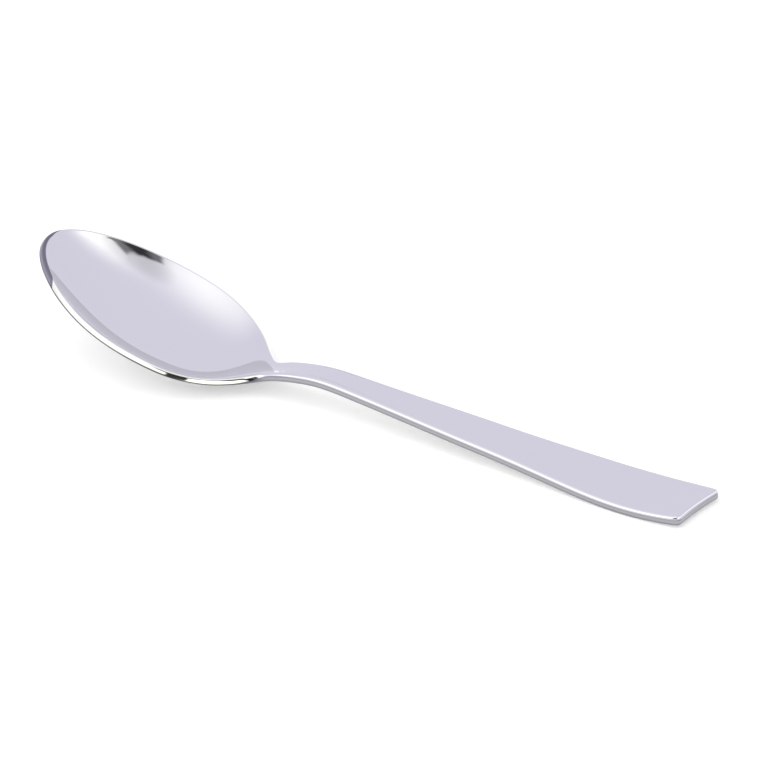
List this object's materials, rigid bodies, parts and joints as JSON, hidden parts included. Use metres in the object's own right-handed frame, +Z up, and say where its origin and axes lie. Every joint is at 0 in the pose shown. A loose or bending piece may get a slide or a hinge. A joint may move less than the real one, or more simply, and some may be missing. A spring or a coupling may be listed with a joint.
{
  "type": "ice cream spoon",
  "caption": "Small polished steel spoon pressed from one sheet, with an oval bowl, a slim arched neck and a flat handle that widens to a square end.",
  "frame": {"origin": "middle of the spoon's length and width, on the surface that it lies on", "axes": "+X along the spoon towards the handle end, with the bowl tip at -X; Y across; +Z up, out of the hollow side of the bowl"},
  "size_m": [0.139, 0.033, 0.0195],
  "materials": {
    "polished_steel": "polished"
  },
  "bodies": {
    "root": {"spoon": "polished_steel"}
  },
  "joints": []
}
